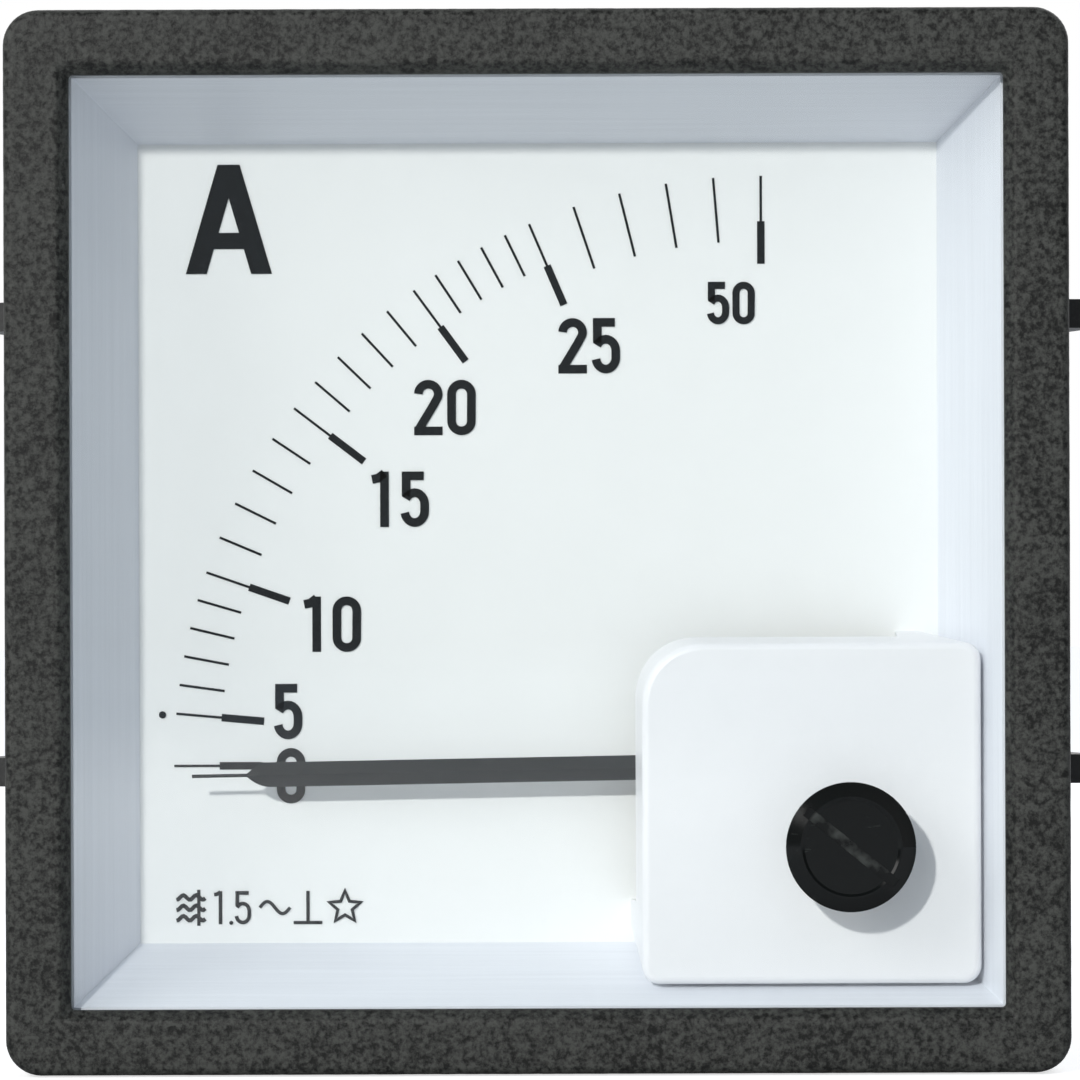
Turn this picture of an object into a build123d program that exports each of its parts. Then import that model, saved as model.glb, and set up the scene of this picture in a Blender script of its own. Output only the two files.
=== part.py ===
from build123d import *
from math import atan2, cos, degrees, hypot, radians, sin
import os

os.makedirs("parts", exist_ok=True)

# A 72 mm square moving-iron panel meter, in millimetres.
# The panel's front face is the plane Y = 0, and the meter looks towards -Y, with +Z up.

# Bezel: a snap-on square frame with a lip in front of the pane.
bezel_side = 72.0
bezel_depth = 7.0
bezel_corner_radius = 2.4
bezel_edge_radius = 0.6
bezel_wall = 1.6
lip_thickness = 1.2
lip_chamfer = 0.7
window_side = 63.2
pane_thickness = 1.3
pane_gap = 0.3

# Housing: a collar inside the bezel, a box through the panel and a narrower body behind it.
cutout_side = 68.0
cutout_gap = 0.75
collar_gap = 0.2
collar_wall = 1.4
flange_thickness = 1.5
housing_wall = 1.8
box_depth = 8.0
body_width = 61.6
body_end = 45.0
back_wall = 2.0
housing_corner_radius = 1.6
catch_span = 36.0
catch_width = 6.0
catch_height = 0.65
catch_length = 1.2
catch_depth = 1.4
groove_gap = 0.15

# Inner frame and dial: sloping white walls that end on a flat plate.
frame_wall = 0.8
frame_inset = 0.1
frame_rim = 1.0
frame_rim_gap = 0.1
frame_foot = 1.0
dial_opening = 55.4
dial_front = 6.0
dial_thickness = 0.5
dial_side = 60.6
peg_radius = 0.6
peg_gap = 0.1
peg_height = 20.0

# Scale: a quarter circle about the pivot, with its main divisions and their angles.
pivot_x = 15.5
pivot_z = -15.4
scale_radius = 40.8
fine_tick_length = 3.15
wide_tick_length = 2.95
late_tick_length = 4.5
fine_tick_width = 0.17
wide_tick_width = 0.52
ink_thickness = 0.05
main_angles = [0.0, 5.1, 19.2, 37.4, 53.8, 66.8, 90.0]
steps_between = [1, 5, 5, 5, 5, 5]

# Movement cover: a raised white box over the pivot, in the lower right corner.
cover_left = 7.1
cover_top = -7.0
cover_front = -2.4
cover_wall = 1.0
cover_draft = 0.095
cover_gap = 0.35
cover_corner_radius = 4.1
cover_small_radius = 1.2
cover_edge_radius = 0.5
cover_foot = 3.0
skirt_end = 2.2

# Zero adjuster: a round screw head in the pane, with an eccentric pin behind it.
adjuster_x = 21.15
adjuster_z = -20.75
head_radius = 4.4
head_face_radius = 3.45
head_dish_radius = 3.15
head_dish_depth = 0.12
head_thickness = 1.25
head_rim_thickness = 0.45
head_gap = 0.05
head_slot_width = 0.75
head_slot_depth = 0.6
head_slot_angle = -39.3
shank_radius = 2.0
shank_end = -3.3
running_gap = 0.08
ring_radius = 3.2
ring_thickness = 0.5
eccentricity = 1.0
eccentric_pin_radius = 0.45
eccentric_pin_end = 1.3
fork_gap = 0.2

# Moving system: everything that turns on the spindle.
spindle_radius = 0.6
spindle_front = 0.85
spindle_back = 32.95
pivot_cone = 0.6
hub_radius = 1.0
hub_flange_radius = 1.6
hub_front = 2.4
hub_back = 4.3
hub_flange_thickness = 0.6
press_gap = 0.03
pointer_reach = 35.6
needle_reach = 39.4
needle_radius = 0.12
pointer_width = 1.7
pointer_ridge = 2.75
pointer_ridge_height = 0.5
pointer_sheet = 0.25
pointer_droop = 0.94
pointer_ring_radius = 2.1
balance_arm_radius = 0.3
balance_arm_reach = 8.0
balance_plane = 2.85
weight_radius = 1.1
weight_start = 4.2
weight_length = 2.2
weight_gap = 0.03

# Bearings: two jewel screws, one in a bridge on pillars and one in a bar behind the coil.
jewel_radius = 1.0
jewel_length = 2.2
jewel_slot = 0.35
jewel_cup = 0.5
jewel_gap = 0.05
bridge_front = -0.6
bridge_thickness = 1.0
bridge_width = 3.6
boss_radius = 1.6
boss_length = 0.7
pillar_reach = 7.3
pillar_radius = 1.25
pillar_spigot_radius = 0.7
rivet_radius = 1.05
rivet_height = 0.3
rear_bar_thickness = 1.2
rear_bar_width = 5.0
rear_bar_reach = 10.4
bar_screw_radius = 0.85
bar_screw_head = 1.6
bar_screw_length = 1.3

# Regulator and hairspring: the lever that the eccentric pin turns, and the spring on it.
regulator_front = 0.55
regulator_thickness = 0.5
regulator_arm_width = 2.9
regulator_ring_wall = 1.1
boss_gap = 0.06
spring_front = 1.4
spring_width = 0.5
spring_strip = 0.14
spring_inner_radius = 1.2
spring_outer_radius = 3.9
spring_turns = 3
spring_collar_gap = 0.08
stud_radius = 0.35

# Coil, bobbin and irons: the electromagnet around the spindle.
bobbin_front = 15.0
bobbin_length = 18.0
flange_radius = 13.0
bobbin_flange = 1.5
bore_radius = 7.0
core_wall = 0.8
coil_radius = 12.2
coil_turns = 10
coil_scallop = 0.3
fixed_vane_thickness = 0.5
fixed_vane_span = 150.0
vane_front = 18.0
vane_length = 12.0
fixed_vane_tip = 4.0
moving_vane_radius = 5.3
moving_vane_thickness = 0.35
moving_vane_span = 52.0
vane_collar_radius = 1.2
lead_radius = 0.75
lead_hole_gap = 0.1
lead_circle = 11.5
lead_angles = [75.0, 120.0]

# Damping: a light vane that sweeps a sector-shaped chamber.
chamber_front = 9.0
chamber_inner_radius = 3.0
chamber_outer_radius = 13.4
chamber_wall = 0.6
chamber_start = 84.0
chamber_end = 206.0
damper_angle = 192.0
damper_reach = 12.6
damper_thickness = 0.2
damper_gap = 0.4

# Movement frame: the plate that ties the coil, the pillars and the chamber to the housing.
plate_thickness = 1.5
plate_hole_radius = 2.6
tie_points = [(-2.5, -15.4), (26.0, -3.0), (26.0, -27.5)]
tie_boss_radius = 2.6
tie_screw_radius = 1.2
tie_screw_head = 2.2
tie_head_height = 1.3
tie_screw_depth = 6.0
tie_gap = 0.1

# Terminals: two threaded studs through the back wall.
terminal_spacing = 28.0
stud_thread_radius = 2.5
stud_end = 58.5
stud_chamfer = 0.5
stud_head_side = 8.0
stud_head_thickness = 2.5
stud_gap = 0.1
washer_radius = 5.0
washer_thickness = 0.9
nut_flats = 8.0
nut_thickness = 3.5
nut_chamfer = 0.5
barrier_width = 1.6
barrier_height = 9.0
barrier_length = 30.0

# Mounting clamps: each slides on two rails at one side and presses the panel with two ribs.
rail_end = 43.0
rail_inside = 19.0
rail_web = 1.5
rail_lip = 1.2
rail_overhang = 1.4
slide_gap = 0.15
clamp_plate = 1.0
clamp_length = 14.0
clamp_tip = 6.0
clamp_front = 13.6
rib_spacing = 31.6
rib_thickness = 2.0
rib_reach = 38.5
rib_tip_depth = 2.2
rib_heel = 34.2
tongue_width = 6.6
tongue_slot = 0.8
tongue_thickness = 1.0
tongue_lift = 37.7
pawl_gap = 0.12
yoke_length = 2.0
tooth_height = 0.6
tooth_pitch = 1.5
tooth_width = 5.2
rack_start = 10.0

# Sizes and places that follow from the ones above.
bezel_inside = bezel_side - 2 * bezel_wall
collar_side = bezel_inside - 2 * collar_gap
collar_inside = collar_side - 2 * collar_wall
box_side = cutout_side - 2 * cutout_gap
box_inside = box_side - 2 * housing_wall
body_inside = body_width - 2 * housing_wall
pane_front = lip_thickness - bezel_depth
pane_back = pane_front + pane_thickness
frame_opening = window_side - 2 * frame_inset
dial_back = dial_front + dial_thickness
head_front = pane_front - head_gap - head_thickness
adjuster_reach = hypot(adjuster_x - pivot_x, adjuster_z - pivot_z)
adjuster_angle = degrees(atan2(adjuster_z - pivot_z, adjuster_x - pivot_x))
bridge_back = bridge_front + bridge_thickness
bobbin_back = bobbin_front + bobbin_length
plate_front = bobbin_front - plate_thickness
rear_bar_back = bobbin_back + rear_bar_thickness
wall_inside = body_end - back_wall
side_face = body_width / 2
box_face = box_side / 2


def at(depth):
    """The plane at Y = depth that faces the front, with X to the right and Z up."""
    return Plane.XZ.offset(-depth)


def around(radius, angle):
    """The point (x, z) at a radius from the pivot, its angle turning from +X towards +Z."""
    return (pivot_x + radius * cos(radians(angle)), pivot_z + radius * sin(radians(angle)))


def half_opening(depth):
    """Half the inner frame's opening at Y = depth, between its sloping walls."""
    share = (depth - pane_back) / (dial_front - pane_back)
    return (frame_opening + (dial_opening - frame_opening) * share) / 2


def profile_plane(x, z):
    """The plane for a turned profile: its x is the radius and its y is the depth Y."""
    return Plane(origin=(x, 0, z), x_dir=(1, 0, 0), z_dir=(0, 0, 1))


def depth_axis(x, z):
    """The line along Y through (x, z)."""
    return Axis((x, 0, z), (0, 1, 0))


def save(builder, name):
    """Labels a finished piece and writes its STEP file."""
    builder.part.label = name
    export_step(builder.part, "parts/" + name + ".step")


# Bezel: rounded block, hollowed from behind, with a chamfered window and four catch grooves.
with BuildPart() as bezel:
    with BuildSketch(at(0)):
        RectangleRounded(bezel_side, bezel_side, bezel_corner_radius)
    extrude(amount=bezel_depth)
    fillet(bezel.faces().sort_by(Axis.Y)[0].edges(), bezel_edge_radius)
    with BuildSketch(at(0)):
        Rectangle(bezel_inside, bezel_inside)
    extrude(amount=-pane_front, mode=Mode.SUBTRACT)
    with BuildSketch(at(pane_front)):
        Rectangle(window_side, window_side)
    extrude(amount=lip_thickness, mode=Mode.SUBTRACT)
    window_edges = bezel.faces().sort_by(Axis.Y)[0].inner_wires()[0].edges()
    chamfer(window_edges, lip_chamfer)
    with BuildSketch(at(-catch_depth + groove_gap)):
        with GridLocations(catch_span, bezel_inside, 2, 2):
            Rectangle(catch_width + 2 * groove_gap, 2 * (catch_height - collar_gap + groove_gap))
    extrude(amount=catch_length + 2 * groove_gap, mode=Mode.SUBTRACT)
save(bezel, "bezel")

# Window pane: flat clear sheet behind the lip, with a hole for the adjuster.
with BuildPart() as window_pane:
    with BuildSketch(at(pane_back)):
        Rectangle(bezel_inside - 2 * pane_gap, bezel_inside - 2 * pane_gap)
        with Locations((adjuster_x, adjuster_z)):
            Circle(shank_radius + running_gap, mode=Mode.SUBTRACT)
    extrude(amount=pane_thickness)
save(window_pane, "window_pane")

# Housing: collar, box and body as one moulding, open at the front.
with BuildPart() as housing:
    with BuildSketch(at(0)):
        RectangleRounded(collar_side, collar_side, housing_corner_radius)
    extrude(amount=-pane_back)
    with BuildSketch(at(box_depth)):
        RectangleRounded(box_side, box_side, housing_corner_radius)
    extrude(amount=box_depth)
    with BuildSketch(at(body_end)):
        RectangleRounded(body_width, box_side, housing_corner_radius)
    extrude(amount=body_end - box_depth)
    with BuildSketch(at(-flange_thickness)):
        Rectangle(collar_inside, collar_inside)
    extrude(amount=-pane_back - flange_thickness, mode=Mode.SUBTRACT)
    with BuildSketch(at(dial_back)):
        Rectangle(box_inside, box_inside)
    extrude(amount=dial_back + flange_thickness, mode=Mode.SUBTRACT)
    with BuildSketch(at(wall_inside)):
        Rectangle(body_inside, box_inside)
    extrude(amount=wall_inside - dial_back, mode=Mode.SUBTRACT)

    # Catches that hold the bezel, each a wedge that rises towards the panel.
    for column in (-1, 1):
        for side in (-1, 1):
            with BuildSketch(Plane.YZ.offset(column * catch_span / 2 - catch_width / 2)):
                with BuildLine():
                    Polyline(
                        (-catch_depth - catch_length, side * collar_side / 2),
                        (-catch_depth, side * collar_side / 2),
                        (-catch_depth, side * (collar_side / 2 + catch_height)),
                        close=True,
                    )
                make_face()
            extrude(amount=catch_width)

    # Rails and ratchet teeth for the mounting clamps, on both sides.
    for side in (-1, 1):
        with BuildSketch(at(rail_end)):
            for end in (-1, 1):
                with Locations((side * (side_face + box_face) / 2, end * (rail_inside + rail_web / 2))):
                    Rectangle(box_face - side_face, rail_web)
                with Locations((side * (box_face - rail_lip / 2), end * (rail_inside - rail_overhang / 2))):
                    Rectangle(rail_lip, rail_overhang)
        extrude(amount=rail_end - box_depth)
        with BuildSketch(Plane.XY):
            for tooth in range(int((rail_end - rack_start) / tooth_pitch)):
                start = rack_start + tooth * tooth_pitch
                with BuildLine():
                    Polyline(
                        (side * side_face, start),
                        (side * (side_face + tooth_height), start + tooth_pitch),
                        (side * side_face, start + tooth_pitch),
                        close=True,
                    )
                make_face()
        extrude(amount=tooth_width / 2, both=True)

    # Screw bosses for the movement, holes for the studs and a rib that parts the terminals.
    with BuildSketch(at(wall_inside)):
        with Locations(*tie_points):
            Circle(tie_boss_radius)
    extrude(amount=wall_inside - bobbin_front)
    with BuildSketch(at(bobbin_front)):
        with Locations(*tie_points):
            Circle(tie_screw_radius)
    extrude(amount=-tie_screw_depth - tie_gap, mode=Mode.SUBTRACT)
    with BuildSketch(at(body_end)):
        with GridLocations(terminal_spacing, 1, 2, 1):
            Circle(stud_thread_radius + stud_gap)
    extrude(amount=back_wall, mode=Mode.SUBTRACT)
    with BuildSketch(at(body_end + barrier_height)):
        Rectangle(barrier_width, barrier_length)
    extrude(amount=barrier_height)

    # Pegs that place the dial on the ledge.
    with BuildSketch(at(dial_back)):
        peg_x = (body_inside + dial_side) / 4
        with Locations((-peg_x, peg_height), (peg_x, peg_height)):
            Circle(peg_radius)
    extrude(amount=dial_thickness)
save(housing, "housing")

# Inner frame: four sloping walls with a rim behind the pane and a foot on the dial.
with BuildPart() as inner_frame:
    for depth in (pane_back, dial_front):
        with BuildSketch(at(depth)):
            Rectangle(2 * (half_opening(depth) + frame_wall), 2 * (half_opening(depth) + frame_wall))
    loft()
    with BuildSketch(at(pane_back + frame_rim)):
        Rectangle(collar_inside - 2 * frame_rim_gap, collar_inside - 2 * frame_rim_gap)
    extrude(amount=frame_rim)
    with BuildSketch(at(dial_front)):
        Rectangle(dial_side, dial_side)
        peg_x = (body_inside + dial_side) / 4
        with Locations((-peg_x, peg_height), (peg_x, peg_height)):
            Circle(peg_radius + peg_gap, mode=Mode.SUBTRACT)
    extrude(amount=frame_foot)
    for depth in (pane_back - frame_rim, dial_front + frame_rim):
        with BuildSketch(at(depth)):
            Rectangle(2 * half_opening(depth), 2 * half_opening(depth))
    loft(mode=Mode.SUBTRACT)
save(inner_frame, "inner_frame")

# Dial plate: thin sheet, cut out under the cover for the bearing bridge.
with BuildPart() as dial_plate:
    with BuildSketch(at(dial_back)):
        Rectangle(dial_side, dial_side)
        with Locations((pivot_x, pivot_z)):
            Circle(pillar_reach + pillar_radius + fork_gap, mode=Mode.SUBTRACT)
        peg_x = (body_inside + dial_side) / 4
        with Locations((-peg_x, peg_height), (peg_x, peg_height)):
            Circle(peg_radius + peg_gap, mode=Mode.SUBTRACT)
    extrude(amount=dial_thickness)
save(dial_plate, "dial_plate")


def tick(angle, outer, length, width):
    """A radial bar in the active sketch, its outer end on the given radius."""
    with Locations(around(outer - length / 2, angle)):
        Rectangle(length, width, rotation=angle)


# Scale marks: fine ticks, longer ones past the fifth main mark, and a wide bar at each main mark.
with BuildPart() as scale_marks:
    with BuildSketch(at(dial_front)):
        last = len(main_angles) - 1
        for section in range(last):
            turn = main_angles[section + 1] - main_angles[section]
            for step in range(1, steps_between[section]):
                angle = 180 - main_angles[section] - turn * step / steps_between[section]
                length = late_tick_length if section == last - 1 else fine_tick_length
                tick(angle, scale_radius, length, fine_tick_width)
        for main in main_angles:
            tick(180 - main, scale_radius, fine_tick_length, fine_tick_width)
            tick(180 - main, scale_radius - fine_tick_length, wide_tick_length, wide_tick_width)
    extrude(amount=ink_thickness)
save(scale_marks, "scale_marks")


def cover_outline(depth, inset):
    """The cover's rounded outline at Y = depth, inset by a wall, in the active sketch."""
    flare = cover_draft * (depth - cover_front)
    left = cover_left - flare + inset
    top = cover_top + flare - inset
    edge = half_opening(depth) - cover_gap - inset
    with Locations(((left + edge) / 2, (top - edge) / 2)):
        Rectangle(edge - left, top + edge)
    corners = vertices().sort_by(Axis.Y)
    upper_left = corners[2:].sort_by(Axis.X)[0]
    fillet(upper_left, cover_corner_radius - inset)
    lower_left = vertices().sort_by(Axis.Y)[:2].sort_by(Axis.X)[0]
    right = vertices().sort_by(Axis.X)[-2:]
    fillet([lower_left] + list(right), max(cover_small_radius - inset, 0.1))


# Movement cover: raised box with drafted walls; two walls stand on the dial, two clear the pointer.
with BuildPart() as movement_cover:
    for depth in (cover_front, dial_front):
        with BuildSketch(at(depth)):
            cover_outline(depth, 0)
    loft()
    fillet(movement_cover.faces().sort_by(Axis.Y)[0].edges(), cover_edge_radius)
    for depth in (cover_front + cover_wall, dial_front + cover_wall):
        with BuildSketch(at(depth)):
            cover_outline(depth, cover_wall)
    loft(mode=Mode.SUBTRACT)
    with BuildSketch(at(dial_front + cover_wall)):
        foot_edge = half_opening(dial_front) - cover_foot
        with Locations((foot_edge, -foot_edge)):
            Rectangle(dial_side, dial_side, align=(Align.MAX, Align.MIN))
    extrude(amount=dial_front + cover_wall - skirt_end, mode=Mode.SUBTRACT)
    with BuildSketch(at(0)):
        with Locations((adjuster_x, adjuster_z)):
            Circle(eccentricity + eccentric_pin_radius + fork_gap)
    extrude(amount=bezel_depth, mode=Mode.SUBTRACT)
save(movement_cover, "movement_cover")

# Zero adjuster: bevelled and dished head with a driver slot, a shank and an eccentric pin.
with BuildPart() as zero_adjuster:
    with BuildSketch(profile_plane(adjuster_x, adjuster_z)):
        with BuildLine():
            Polyline(
                (0, head_front + head_dish_depth),
                (head_dish_radius, head_front + head_dish_depth),
                (head_face_radius - head_dish_depth, head_front),
                (head_face_radius, head_front),
                (head_radius, pane_front - head_gap - head_rim_thickness),
                (head_radius, pane_front - head_gap),
                (shank_radius, pane_front - head_gap),
                (shank_radius, shank_end),
                (0, shank_end),
                close=True,
            )
        make_face()
    revolve(axis=depth_axis(adjuster_x, adjuster_z))
    with BuildSketch(at(head_front)):
        with Locations((adjuster_x, adjuster_z)):
            Rectangle(2 * head_radius - 1, head_slot_width, rotation=head_slot_angle)
    extrude(amount=-head_slot_depth, mode=Mode.SUBTRACT)
    with BuildSketch(at(eccentric_pin_end)):
        with Locations(around(adjuster_reach + eccentricity, adjuster_angle)):
            Circle(eccentric_pin_radius)
    extrude(amount=eccentric_pin_end - shank_end)
save(zero_adjuster, "zero_adjuster")

# Adjuster ring: spring washer that holds the adjuster in the pane.
with BuildPart() as adjuster_ring:
    with BuildSketch(at(pane_back + head_gap + ring_thickness)):
        with Locations((adjuster_x, adjuster_z)):
            Circle(ring_radius)
            Circle(shank_radius + press_gap, mode=Mode.SUBTRACT)
            with Locations((ring_radius, 0)):
                Rectangle(2 * (ring_radius - shank_radius), shank_radius, mode=Mode.SUBTRACT)
    extrude(amount=ring_thickness)
save(adjuster_ring, "adjuster_ring")

# Spindle: slender shaft with a cone at each end.
with BuildPart() as spindle:
    with BuildSketch(profile_plane(pivot_x, pivot_z)):
        with BuildLine():
            Polyline(
                (0, spindle_front),
                (spindle_radius, spindle_front + pivot_cone),
                (spindle_radius, spindle_back - pivot_cone),
                (0, spindle_back),
                close=True,
            )
        make_face()
    revolve(axis=depth_axis(pivot_x, pivot_z))
save(spindle, "spindle")

# Pointer hub: turned collet pressed on the spindle, with a cross hole for the balance arm.
with BuildPart() as pointer_hub:
    with BuildSketch(profile_plane(pivot_x, pivot_z)):
        with BuildLine():
            Polyline(
                (spindle_radius + press_gap, hub_front),
                (hub_radius, hub_front),
                (hub_radius, hub_back - hub_flange_thickness),
                (hub_flange_radius, hub_back - hub_flange_thickness),
                (hub_flange_radius, hub_back),
                (spindle_radius + press_gap, hub_back),
                close=True,
            )
        make_face()
    revolve(axis=depth_axis(pivot_x, pivot_z))
save(pointer_hub, "pointer_hub")

# Pointer: folded sheet with a ridge along its middle, a curved tip and a fine needle.
droop = radians(pointer_droop)
pointer_plane = Plane(
    origin=(pivot_x, pointer_ridge + pointer_ridge_height + pointer_sheet, pivot_z),
    x_dir=(-cos(droop), 0, -sin(droop)),
    z_dir=(0, -1, 0),
)
section_plane = Plane(
    origin=(pivot_x, 0, pivot_z),
    x_dir=(sin(droop), 0, -cos(droop)),
    z_dir=(-cos(droop), 0, -sin(droop)),
)
half_width = pointer_width / 2
ridge_back = pointer_ridge + pointer_sheet
eaves_front = pointer_ridge + pointer_ridge_height
pointer_back = eaves_front + pointer_sheet
with BuildPart() as pointer:
    with BuildSketch(pointer_plane):
        with BuildLine():
            tip_start = Line((0, -half_width), (pointer_reach - half_width, -half_width))
            tip_top = Line(tip_start @ 1, (pointer_reach, -needle_radius))
            tip_end = Line(tip_top @ 1, (pointer_reach, needle_radius))
            tip_curve = Spline(
                tip_end @ 1,
                (pointer_reach - 2 * half_width, half_width),
                tangents=((-1, 0.9), (-1, 0)),
            )
            lower = Line(tip_curve @ 1, (0, half_width))
            Line(lower @ 1, tip_start @ 0)
        make_face()
    extrude(amount=pointer_ridge_height + pointer_sheet)
    with BuildSketch(section_plane):
        with BuildLine():
            Polyline(
                (-half_width, -eaves_front),
                (0, -pointer_ridge),
                (half_width, -eaves_front),
                (half_width, -pointer_back),
                (0, -ridge_back),
                (-half_width, -pointer_back),
                close=True,
            )
        make_face()
    extrude(amount=pointer_reach, mode=Mode.INTERSECT)
    with BuildSketch(section_plane.offset(pointer_reach - half_width)):
        with Locations((0, -(ridge_back + pointer_ridge) / 2)):
            Circle(needle_radius)
    extrude(amount=needle_reach - pointer_reach + half_width)
    with BuildSketch(at(pointer_back)):
        with Locations((pivot_x, pivot_z)):
            Circle(pointer_ring_radius)
    extrude(amount=pointer_sheet)
    with BuildSketch(at(pointer_back)):
        with Locations((pivot_x, pivot_z)):
            Circle(hub_radius + press_gap)
    extrude(amount=2 * pointer_back, mode=Mode.SUBTRACT)
save(pointer, "pointer")

# Balance arm: thin rod opposite the pointer, out of the hub.
arm_height = -balance_plane
with BuildPart() as balance_arm:
    with BuildSketch(section_plane.offset(-balance_arm_reach)):
        with Locations((0, arm_height)):
            Circle(balance_arm_radius)
    extrude(amount=balance_arm_reach - hub_radius)
save(balance_arm, "balance_arm")

# Balance weight: small round nut on the arm.
with BuildPart() as balance_weight:
    with BuildSketch(section_plane.offset(-weight_start - weight_length)):
        with Locations((0, arm_height)):
            Circle(weight_radius)
            Circle(balance_arm_radius + weight_gap, mode=Mode.SUBTRACT)
    extrude(amount=weight_length)
save(balance_weight, "balance_weight")


# Jewel screws: slotted bearing screws that face each other, each with a cup for the spindle's cone.
front_cup = spindle_front + jewel_cup - jewel_gap
rear_cup = spindle_back - jewel_cup + jewel_gap
for name, cup, direction in (("front", front_cup, -1), ("rear", rear_cup, 1)):
    head = cup + direction * jewel_length
    with BuildPart() as jewel_screw:
        with BuildSketch(profile_plane(pivot_x, pivot_z)):
            with BuildLine():
                Polyline(
                    (0, head),
                    (jewel_radius, head),
                    (jewel_radius, cup),
                    (spindle_radius, cup),
                    (0, cup + direction * jewel_cup),
                    close=True,
                )
            make_face()
        revolve(axis=depth_axis(pivot_x, pivot_z))
        with BuildSketch(at(head)):
            with Locations((pivot_x, pivot_z)):
                Rectangle(2 * jewel_radius, jewel_slot)
        extrude(amount=direction * jewel_slot, mode=Mode.SUBTRACT)
    save(jewel_screw, name + "_jewel_screw")

# Front bridge: bar across the pivot on two pillars, with a boss that carries the regulator.
bridge_angle = adjuster_angle + 90
pillar_points = [around(pillar_reach, bridge_angle), around(pillar_reach, bridge_angle + 180)]
with BuildPart() as front_bridge:
    with BuildSketch(at(bridge_back)):
        with Locations((pivot_x, pivot_z)):
            SlotCenterToCenter(2 * pillar_reach, bridge_width, rotation=bridge_angle)
        with Locations(*pillar_points):
            Circle(pillar_spigot_radius + press_gap, mode=Mode.SUBTRACT)
    extrude(amount=bridge_thickness)
    with BuildSketch(at(bridge_back)):
        with Locations((pivot_x, pivot_z)):
            Circle(boss_radius)
    extrude(amount=-boss_length)
    with BuildSketch(at(bridge_front)):
        with Locations((pivot_x, pivot_z)):
            Circle(jewel_radius + press_gap)
    extrude(amount=-bridge_thickness - boss_length, mode=Mode.SUBTRACT)
save(front_bridge, "front_bridge")

# Bridge pillars: two shouldered posts, riveted over the bridge and pressed into the plate.
with BuildPart() as bridge_pillars:
    with BuildSketch(at(plate_front)):
        with Locations(*pillar_points):
            Circle(pillar_radius)
    extrude(amount=plate_front - bridge_back)
    with BuildSketch(at(bobbin_front)):
        with Locations(*pillar_points):
            Circle(pillar_spigot_radius)
    extrude(amount=bobbin_front - bridge_front)
    with BuildSketch(at(bridge_front)):
        with Locations(*pillar_points):
            Circle(rivet_radius)
    extrude(amount=rivet_height)
save(bridge_pillars, "bridge_pillars")

# Regulator: lever on the bridge's boss, with a fork for the pin and a stud for the spring.
fork_reach = adjuster_reach + eccentricity
with BuildPart() as regulator:
    with BuildSketch(at(regulator_front + regulator_thickness)):
        arm_end = fork_reach + eccentric_pin_radius + 1.1
        with Locations(around(arm_end / 2, adjuster_angle)):
            Rectangle(arm_end, regulator_arm_width, rotation=adjuster_angle)
        tail_end = spring_outer_radius + 3 * stud_radius
        with Locations(around(tail_end / 2, adjuster_angle + 180)):
            Rectangle(tail_end, regulator_arm_width / 2, rotation=adjuster_angle)
        with Locations((pivot_x, pivot_z)):
            Circle(boss_radius + boss_gap + regulator_ring_wall)
            Circle(boss_radius + boss_gap, mode=Mode.SUBTRACT)
        slot_length = 2 * (arm_end - fork_reach + 2 * eccentric_pin_radius)
        slot_width = 2 * (eccentric_pin_radius + fork_gap)
        with Locations(around(arm_end, adjuster_angle)):
            Rectangle(slot_length, slot_width, rotation=adjuster_angle, mode=Mode.SUBTRACT)
    extrude(amount=regulator_thickness)
    with BuildSketch(at(spring_front + spring_width)):
        with Locations(around(spring_outer_radius + press_gap + stud_radius, adjuster_angle + 180)):
            Circle(stud_radius)
    extrude(amount=spring_front + spring_width - regulator_front - regulator_thickness)
save(regulator, "regulator")


def spiral(offset):
    """Points of the hairspring's spiral, from its collar out to the stud, moved out by an offset."""
    points = []
    steps = 8 * spring_turns
    inner = spring_inner_radius
    for step in range(steps + 1):
        share = step / steps
        radius = inner + (spring_outer_radius - spring_strip - inner) * share + offset
        points.append(around(radius, adjuster_angle + 180 + 360 * spring_turns * (share - 1)))
    return points


# Hairspring: flat spiral strip around a collar that clears the spindle.
with BuildPart() as hairspring:
    with BuildSketch(at(spring_front + spring_width)):
        with BuildLine():
            outside = Spline(*spiral(spring_strip))
            inside = Spline(*spiral(0))
            Line(outside @ 0, inside @ 0)
            Line(outside @ 1, inside @ 1)
        make_face()
        with Locations((pivot_x, pivot_z)):
            Circle(spring_inner_radius + spring_strip / 2)
            Circle(spindle_radius + spring_collar_gap, mode=Mode.SUBTRACT)
    extrude(amount=spring_width)
save(hairspring, "hairspring")

# Movement frame: rounded three-cornered plate behind the dial.
with BuildPart() as movement_frame:
    with BuildSketch(at(bobbin_front)):
        with BuildLine():
            Polyline(*tie_points, close=True)
        make_face()
        offset(amount=tie_boss_radius)
        with Locations((pivot_x, pivot_z)):
            Circle(pillar_reach + 2 * pillar_radius)
            Circle(plate_hole_radius, mode=Mode.SUBTRACT)
        with Locations(*pillar_points):
            Circle(pillar_spigot_radius + press_gap, mode=Mode.SUBTRACT)
        with Locations(*tie_points):
            Circle(tie_screw_radius + tie_gap, mode=Mode.SUBTRACT)
    extrude(amount=plate_thickness)
save(movement_frame, "movement_frame")

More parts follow.
